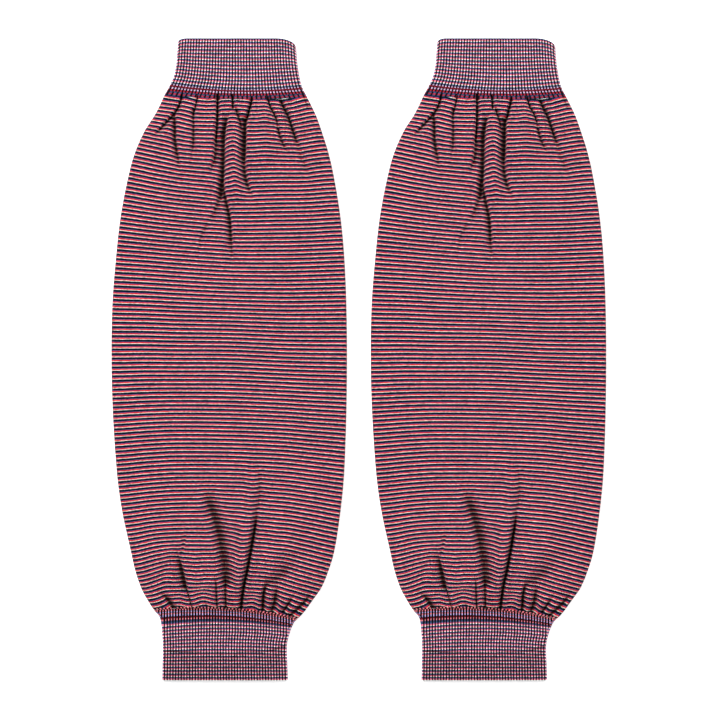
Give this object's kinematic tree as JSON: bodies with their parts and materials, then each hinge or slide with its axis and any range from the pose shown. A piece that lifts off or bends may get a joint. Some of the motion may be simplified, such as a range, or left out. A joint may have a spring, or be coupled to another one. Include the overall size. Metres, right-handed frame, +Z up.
{
  "type": "pair of gathered knit sleeves",
  "caption": "Pair of loose knitted sleeves laid flat side by side, each with a striped balloon body gathered into a ribbed cuff at both ends.",
  "frame": {"origin": "on the surface that the sleeves lie on, below the centre of the pair's bounding box", "axes": "+Y along the sleeves towards their upper cuffs, +X across the pair to the right, +Z up from the surface"},
  "size_m": [0.3713, 0.4814, 0.0085],
  "materials": {
    "body_knit": "matt fine plain knit, striped navy, coral red and cream",
    "cuff_knit": "matt 1x1 rib knit in the same three yarns"
  },
  "bodies": {
    "root": {"left_upper_cuff": "cuff_knit", "left_body": "body_knit", "left_lower_cuff": "cuff_knit", "right_upper_cuff": "cuff_knit", "right_body": "body_knit", "right_lower_cuff": "cuff_knit"}
  },
  "joints": []
}
